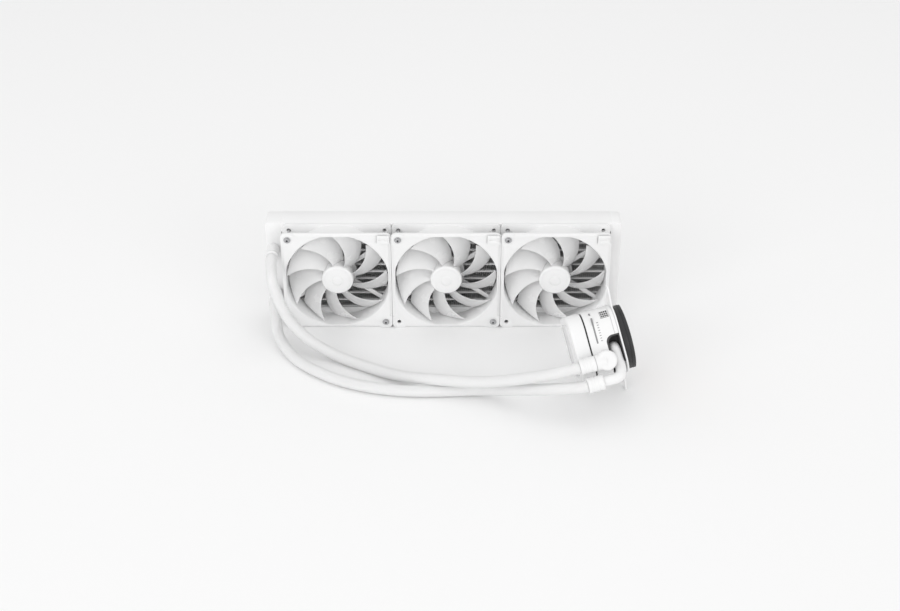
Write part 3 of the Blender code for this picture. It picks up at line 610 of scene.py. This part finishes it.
put("tank_ported", dressed(end_tank(LEFT, CORE_LEFT), PAINT, 0.9), "painted_metal", "left_tank")
put("tank_plain", dressed(end_tank(RIGHT, CORE_RIGHT), PAINT, 0.9), "painted_metal", "right_tank")
put("folded_fins", dressed(folded_foil(), FOIL, sharp=80), "fin_metal", "fin_core")
put("flat_tubes", dressed(flat_tubes(), TUBES), "tube_metal", "tube_bundle")
put("plate_lower", dressed(side_plate(0, 1), PAINT, 0.35), "painted_metal", "bottom_side_plate")
put("plate_upper", dressed(side_plate(HEIGHT, -1), PAINT, 0.35), "painted_metal", "top_side_plate")

barb = [(0, -4.5), (4.2, -4.5), (4.2, 0.3), (6.2, 0.3), (6.6, 0.7), (6.6, 2.2), (6.2, 2.6)]
barb += [(4.4, 2.6), (3.5, 9.0), (3.4, 15.0), (0, 15.0)]
barb_mesh = dressed(lathe(barb, 40), HEAD_PLASTIC)


def crimped_collar(radius, length):
    """A ferrule with rounded ends and three shallow crimp rings."""
    profile = [(0, 0), (radius - 0.9, 0), (radius - 0.3, 0.25), (radius, 0.9)]
    for middle in (length * 0.3, length * 0.5, length * 0.7):
        profile += [(radius, middle - 1.1), (radius - 0.35, middle - 0.6)]
        profile += [(radius - 0.35, middle + 0.6), (radius, middle + 1.1)]
    profile += [(radius, length - 0.9), (radius - 0.3, length - 0.25), (radius - 0.9, length), (0, length)]
    return dressed(lathe(profile, 48), HEAD_PLASTIC)


port_collar = crimped_collar(7.2, 17.3)
for side, height in PORTS.items():
    place = at(PORT_X, FRONT, height) @ FACE_UPRIGHT
    put(f"hose_barb_{side}", barb_mesh, "white_plastic", f"port_fitting_{side}", place=place)
    seat = place @ at(0, 0, 2.9)
    put(f"tank_collar_{side}", port_collar, "white_plastic", f"port_ferrule_{side}", place=seat)


# ---- fans ----


def contact_prism(width, height, corner, low, high):
    """A rounded block at the middle of a fan's contact block."""
    x0, y0 = CONTACT_CENTRE
    return prism([(x + x0, y + y0) for x, y in rounded_rect(width, height, corner)], low, high)


def fan_housing():
    """Two square flanges on a round duct, with a rounded inlet, a motor base and four arms."""
    body = prism(rounded_rect(119.6, 119.6, 5.0), 0, FAN_DEPTH)
    inlet = [(BORE + 1.8, 26.0), (BORE + 1.5, 25.0), (BORE + 0.7, 24.2), (BORE + 0.4, 23.0)]
    outlet = [(BORE + 0.4, 1.4), (BORE + 0.7, 0.5), (BORE + 1.2, -1.0)]
    bore = lathe([(0, 26.0), *inlet, *outlet, (0, -1.0)], 96)
    flats, steps = bmesh.new(), bmesh.new()
    for angle in (0, 90, 180, 270):
        turn = Matrix.Rotation(math.radians(angle), 4, "Z")
        block((-40, 56.2, -2), (40, 70, 27), flats, turn)
        block((-46.5, 57.3, 23.8), (45.0, 61, 26), steps, turn)
    waist = wall(circle(95, 96), circle(59.4, 96), 3.5, 21.5)
    holes, arms = bmesh.new(), bmesh.new()
    for x in (-SCREW_OFFSET, SCREW_OFFSET):
        for y in (-SCREW_OFFSET, SCREW_OFFSET):
            prism(circle(2.3, 24, x, y), -1, 26, holes)
    for angle in ARM_ANGLES:
        turn = Matrix.Rotation(math.radians(angle), 4, "Z")
        block((19.0, -2.2, 0.8), (BORE + 1.4, 2.2, 3.1), arms, turn)
    base = lathe([(0, 0.5), (19.9, 0.5), (20.5, 1.1), (20.5, 3.6), (5.0, 3.6), (5.0, 15), (0, 15)], 64)
    seat = prism(circle(3.6, 32), -1, 16)
    well = contact_prism(14.7, 11.2, 1.8, 24.0, 26)
    bored = carve(body, carve(bore, flats), waist, steps, well)
    return carve(bored, holes, seat, join=(base, arms))


def blade_line(reach):
    """One closed line round a blade, reach going from 0 at the hub to 1 at the tip."""
    radius = HUB - 0.7 + (BLADE_TIP - HUB + 0.7) * reach
    wrap = math.radians(BLADE_WRAP - 4 * reach)
    lead = math.radians(BLADE_PHASE + BLADE_SWEEP * reach**1.15)
    front, drop, thick = 20.0 + 2.6 * reach, 12.6 + 5.4 * reach, 1.9 - 0.8 * reach
    upper, lower = [], []
    for k in range(15):
        share = (1 - math.cos(math.pi * k / 14)) / 2
        angle = lead + wrap * (0.5 - share)
        height = front - drop * share - 1.6 * math.sin(math.pi * share)
        half = thick * (math.sin(math.pi * (0.04 + 0.92 * share)) ** 0.6) / 2
        for side, points in ((1, upper), (-1, lower)):
            z = height + side * half
            points.append(Vector((radius * math.cos(angle), radius * math.sin(angle), z)))
    return upper + lower[::-1]


def blades():
    """Every blade of a rotor, and the hollow hub that carries them."""
    shape = bmesh.new()
    for i in range(BLADE_COUNT):
        turn = Matrix.Rotation(2 * math.pi * i / BLADE_COUNT, 4, "Z")
        skin(shape, [[turn @ p for p in blade_line(k / 12)] for k in range(13)])
    cup = [(0, 23.3), (14.6, 23.0), (16.4, 22.4), (17.3, 21.4), (HUB, 20.2)]
    cup += [(HUB, 6.5), (16.2, 6.5), (16.2, 20.4), (0, 20.4)]
    return lathe(cup, 64, shape)


def pan_screw():
    """A pan head with a hexagon socket, on a washer."""
    head = lathe([(0, 25.9), (2.75, 25.9), (2.75, 27.0), (2.35, 27.4), (1.4, 27.5), (0, 27.5)], 36)
    washer = lathe([(0, 25.3), (3.7, 25.3), (3.7, 25.75), (3.5, 25.9), (0, 25.9)], 36)
    shank = lathe([(0, -3.0), (1.2, -3.0), (1.5, -2.6), (1.5, 25.4), (0, 25.4)], 20)
    return carve(head, prism(circle(1.25, 6), 26.4, 28), join=(washer, shank))


def contact_block():
    """The raised block on a fan's upper right corner, with a slot for its link and two contact rows."""
    body = contact_prism(13.5, 10.0, 1.2, 25.3, 27.6)
    slots = block((47.0, 53.0, 26.6), (53.5, 54.6, 29))
    for x in (55.0, 56.4):
        block((x, 51.4, 27.1), (x + 0.6, 56.0, 29), slots)
    return carve(body, slots)


housing_mesh = dressed(fan_housing(), FRAME_PLASTIC, 0.3)
rotor_mesh = dressed(blades(), MILKY, sharp=50)
cap_line = [(0, 23.2), (14.4, 23.2), (14.4, 23.4), (12.8, 23.85), (9.0, 24.15), (6.8, 24.25)]
cap_line += [(6.6, 24.0), (6.1, 24.0), (5.9, 24.25), (3.0, 24.35), (0, 24.35)]
hub_cap_mesh = dressed(lathe(cap_line, 64), FRAME_PLASTIC, sharp=50)
screw_mesh = dressed(pan_screw(), STEEL)
# A thin dark hexagon on the floor of each screw's socket: painted shade in the socket.
socket_shade_mesh = dressed(prism(circle(1.2, 6), 26.3, 26.5), SOCKET_SHADE)
contact_mesh = dressed(contact_block(), FRAME_PLASTIC, 0.25)
motor_screw_mesh = dressed(lathe([(0, 0.2), (1.2, 0.2), (1.5, 0.5), (1.5, 1.1), (0, 1.1)], 24), STEEL)

for side, x in FAN_X.items():
    place = at(x, FAN_BACK, MID_HEIGHT) @ FACE_UPRIGHT
    spinning = f"fan_rotor_{side}"
    put(f"fan_housing_{side}", housing_mesh, "white_plastic", f"fan_frame_{side}", place=place)
    put(f"fan_blades_{side}", rotor_mesh, "blade_plastic", f"fan_rotor_{side}", place=place, body=spinning)
    put(f"hub_cap_{side}", hub_cap_mesh, "white_plastic", place=place, body=spinning)
    put(f"contact_block_{side}", contact_mesh, "white_plastic", f"fan_link_block_{side}", place=place)
    for corner, u, v in (("upper", -SCREW_OFFSET, SCREW_OFFSET), ("lower", SCREW_OFFSET, -SCREW_OFFSET)):
        spot = place @ at(u, v, 0)
        put(f"corner_screw_{corner}_{side}", screw_mesh, "steel", f"fan_screw_{corner}_{side}", place=spot)
        put(f"screw_socket_shade_{corner}_{side}", socket_shade_mesh, "steel", place=spot)
    for number, angle in enumerate((90, 210, 330)):
        turn = math.radians(angle)
        spot = place @ at(MOTOR_SCREW_RING * math.cos(turn), MOTOR_SCREW_RING * math.sin(turn), 0)
        put(f"motor_screw_{number}_{side}", motor_screw_mesh, "steel", place=spot)


# ---- pump head ----


def outline(inset=0.0):
    """The head's square outline with round corners, moved inwards by inset."""
    size = HEAD_SIZE - 2 * inset
    return rounded_rect(size, size, HEAD_CORNER - inset, 12)


def lid():
    """A square lid with a soft edge and a shallow tray for its panel."""
    loops = [(2.8, -50.0), (1.9, -49.85), (1.1, -49.4), (0.45, -48.6), (0.1, -47.6), (0.0, -46.4)]
    loops += [(0.0, -35.1), (0.3, -34.8), (WALL, -34.8), (WALL, -46.6)]
    shape = skin(bmesh.new(), [[Vector((x, y, z)) for x, y in outline(inset)] for inset, z in loops])
    return carve(shape, prism(rounded_rect(54, 54, 10), -51, -49.0))


def arch(inset):
    """The arch-shaped recess round the fittings, as (x, z), wide open at its lower end."""
    top, left, right = -6.5 + inset, -16.5 + inset, -1.0 - inset
    return [(40, right), (top, right)] + arc(top + 7.0, left + 7.0, 7.0, 180, 270, 12) + [(40, left)]


CONNECTOR = at(-CORNER_CENTRE, -CORNER_CENTRE, -11.5) @ Matrix.Rotation(math.radians(-41), 4, "Z")


def shell():
    """The pump's case, with its recess, side grooves, port hole and connector pocket."""
    body = wall(outline(), outline(WALL), -33.2, -6.4)
    grooves = block((-28, -36, GROOVE_LOW), (-1.5, -34.1, GROOVE_HIGH))
    block((-34.0, -29, GROOVE_LOW), (-30.5, -24.5, GROOVE_HIGH), grooves)
    stub = across(circle(4.7, 32, ELBOW_X["upper"], STUB_Z), -40, -30)
    pocket = block((-4.6, -HEAD_CORNER - 2, -4.4), (4.6, -HEAD_CORNER + 5, 4.4), place=CONNECTOR)
    return carve(body, across(arch(0), -40, -16), grooves, stub, pocket)


def lining():
    """A thin liner that follows the recess and ends just under the case's outside."""
    body = across(arch(0.4), -36, -16.4)
    rest = carve(body, across(arch(1.6), -42, -17.6), block((23, -60, -60), (80, 60, 60)))
    outside = wall(rounded_rect(160, 160, 10, 12), outline(1.2), -60, 60)
    return carve(rest, outside)


def socket():
    """A multi-pin connector with two columns of slots."""
    body = block((-4.2, -HEAD_CORNER + 0.4, -4.0), (4.2, -HEAD_CORNER + 4.4, 4.0))
    slots = bmesh.new()
    for row in range(PIN_ROWS):
        for x in (-2.0, 2.0):
            z = -3.0 + 1.5 * row
            block((x - 1.4, -HEAD_CORNER - 1, z - 0.45), (x + 1.4, -HEAD_CORNER + 1.8, z + 0.45), slots)
    return carve(body, slots)


def lattice():
    """White bars between the connector's slots."""
    bars = bmesh.new()
    for x in (-4.0, -1.35, 1.35, 4.0):
        block((x - 0.2, -HEAD_CORNER + 0.15, -4.0), (x + 0.2, -HEAD_CORNER + 0.9, 4.0), bars)
    for row in range(PIN_ROWS):
        z = -3.8 + 1.9 * row
        block((-4.2, -HEAD_CORNER + 0.2, z - 0.2), (4.2, -HEAD_CORNER + 0.95, z + 0.2), bars)
    bars.transform(CONNECTOR)
    return bars


def groove_strips():
    """Grey strips on the floors of the case's two side grooves."""
    low, high = GROOVE_LOW - 0.05, GROOVE_HIGH + 0.05
    strips = block((-28, -34.8, low), (-1.5, -34.3, high))
    return block((-32.6, -27.6, low), (-31.4, -25.9, high), strips)


def printed_ticks():
    """A row of plain ticks beside the long groove."""
    ticks = bmesh.new()
    for number in range(TICKS):
        x = -22.5 + 2.7 * number
        block((x, -35.04, -21.6), (x + 0.7, -34.8, -19.8), ticks)
    return ticks


def eared_plate():
    """A thin plate with an opening for the base and an ear at two opposite corners."""
    low, high = -1.9, -0.3
    plate = wall(outline(-0.8), circle(17.0, 52, 0, 3.0), low, high)
    ears, holes = bmesh.new(), bmesh.new()
    for angle in (EAR_ANGLE, EAR_ANGLE + 180):
        turn = Matrix.Rotation(math.radians(angle), 4, "Z")
        end = arc(EAR_REACH, 0, EAR_RADIUS, -90, 90, 16)
        prism([(36, -8.0)] + end + [(36, 8.0)], low, high, ears, turn)
        prism(circle(2.2, 24, EAR_REACH, 0), low - 1, high + 1, holes, turn)
    return carve(plate, holes, join=(ears,))


def base_disc():
    """The black base: a disc with two flats, a groove round its rim and a pocket for the cold plate."""
    half = math.degrees(math.asin(BASE_FLAT / BASE_RADIUS))
    sides = [arc(0, 0, BASE_RADIUS, middle - half, middle + half, 40) for middle in (0, 180)]
    rim = [(y, x) for side in sides for x, y in side]
    steps = [(0, -1), (13.4, -1), (13.4, 4.0), (24, 4.0), (24, 6.8), (26.4, 6.8), (26.4, 12), (0, 12)]
    opening = lathe(steps, 72)
    groove = wall(circle(40, 72), circle(33.9, 72), 5.2, 5.9)
    return carve(prism(rim, 0.3, 9.3), opening, groove)


def round_elbow():
    """A round swivel body on a stub, with its outlet to the side."""
    place = at(ELBOW_X["upper"], 0, STUB_Z) @ FACE_UPRIGHT
    top = -OUTLET_PLANE + 7.2
    profile = [(0, 31.0), (4.3, 31.0), (4.3, 35.4), (9.4, 35.4), (10.0, 35.8), (10.2, 36.6)]
    profile += [(10.2, 38.4), (9.9, 38.7), (9.9, 39.2), (10.2, 39.5), (10.2, top - 3.0)]
    profile += [(9.8, top - 1.7), (8.8, top - 0.7), (7.2, top - 0.2), (0, top)]
    body = lathe(profile, 64, place=place)
    outlet = lathe([(0, -1), (8.2, -1), (8.2, -10.4), (7.4, -11.4), (0, -11.4)], 48)
    outlet.transform(at(ELBOW_X["upper"], OUTLET_PLANE, STUB_Z))
    return carve(body, join=(outlet,))


def bent_neck():
    """A neck that rises from the recess's floor, leaves it and turns beside the round elbow."""
    rise = [(x, y, -9.0) for x, y in arc(13.2, -22.0, 6.8, 180, 270, 3)]
    route = [(6.4, -17.9, -9.0), *rise, (19, -29.4, -9.0), (25.5, -32.6, -9.2), (31, -37.4, -10.4)]
    x = ELBOW_X["lower"]
    route += [(35, -41.3, -13.2), (x, -43.1, -17.5), (x, OUTLET_PLANE, -22.0), (x, OUTLET_PLANE, -31.0)]
    return bar(smooth_route(route, 1.5), 5.4, 36)


def head_piece(name, shape, finish, slot, node, soften=0.0, body="cooler"):
    """A piece of the head, whose mesh is turned into place so that its box is a close one."""
    mesh = dressed(shape, finish, soften)
    mesh.transform(metres(HEAD_PLACE))
    put(name, mesh, slot, node, body=body)


head_piece("lid", lid(), HEAD_PLASTIC, "white_plastic", "pump_cap", 0.2, "cap")
panel = prism(rounded_rect(53.2, 53.2, 9.6, 12), -49.8, -49.3)
head_piece("lid_panel", panel, GLOSS_PANEL, "panel", "cap_panel", 0.12, "cap")
seam = wall(outline(0.9), outline(WALL), -34.5, -33.5)
head_piece("seam", seam, BLACK, "black_plastic", "seam_ring", 0.15)
head_piece("pump_shell", shell(), HEAD_PLASTIC, "white_plastic", "pump_housing", 0.3)
collar = carve(wall(outline(), outline(WALL), -6.1, -2.2), across(arch(0), -40, -16))
head_piece("shell_collar", collar, HEAD_PLASTIC, "white_plastic", "base_collar", 0.25)
head_piece("recess_lining", lining(), LINING, "black_plastic", "bay_liner", 0.1)
connector = socket()
connector.transform(CONNECTOR)
head_piece("pin_connector", connector, BLACK, "black_plastic", "side_connector", 0.12)
put("connector_lattice", dressed(lattice(), HEAD_PLASTIC), "white_plastic", place=HEAD_PLACE)
put("groove_strips", dressed(groove_strips(), GREY), "panel", place=HEAD_PLACE)
put("printed_ticks", dressed(printed_ticks(), GREY), "panel", place=HEAD_PLACE)
head_piece("eared_plate", eared_plate(), PAINT, "painted_metal", "mounting_bracket", 0.2)
head_piece("base_disc", base_disc(), BLACK, "black_plastic", "base_block", 0.35)
head_piece("round_elbow", round_elbow(), HEAD_PLASTIC, "white_plastic", "elbow_upper", 0.3)
head_piece("bent_neck", bent_neck(), HEAD_PLASTIC, "white_plastic", "elbow_lower")
plate_line = [(0, 7.2), (26.0, 7.2), (26.0, 9.3), (25.7, 9.6), (0, 9.6)]
put("contact_plate", dressed(lathe(plate_line, 96), COPPER), "copper", "cold_plate", place=HEAD_PLACE)
for number in range(6):
    spot = HEAD_PLACE @ Matrix.Rotation(math.radians(60 * number + 30), 4, "Z") @ at(BASE_SCREW_RING, 0, 0)
    screw = lathe([(0, 9.0), (1.9, 9.0), (1.9, 9.45), (1.6, 9.6), (0, 9.6)], 28)
    put(f"base_screw_{number}", dressed(screw, STEEL), "steel", place=spot)

pump_collar = crimped_collar(8.0, PUMP_FERRULE)
for side, x in ELBOW_X.items():
    place = HEAD_PLACE @ at(x, OUTLET_PLANE, FERRULE_TOP[side]) @ Matrix.Rotation(math.pi, 4, "X")
    put(f"pump_collar_{side}", pump_collar, "white_plastic", f"pump_ferrule_{side}", place=place)


# ---- inner CAD pieces keep their shapes and take finished materials ----

fan_steel = [f"fan_{part}_{side}" for part in ("stator", "shaft") for side in FAN_X]
INNER = {
    STEEL: ["pump_stator", "impeller_shaft"] + fan_steel,
    FERRITE: ["impeller_magnet"] + [f"fan_magnet_{side}" for side in FAN_X],
    BRONZE: [f"fan_bearing_{side}" for side in FAN_X],
    BLACK: ["pump_volute", "impeller"],
    GLOSS_PANEL: ["pump_bearing"],
    BOARD: ["pump_board"],
}
for finish, names in INNER.items():
    for name in names:
        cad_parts[name].material_slots[0].material = finish.material
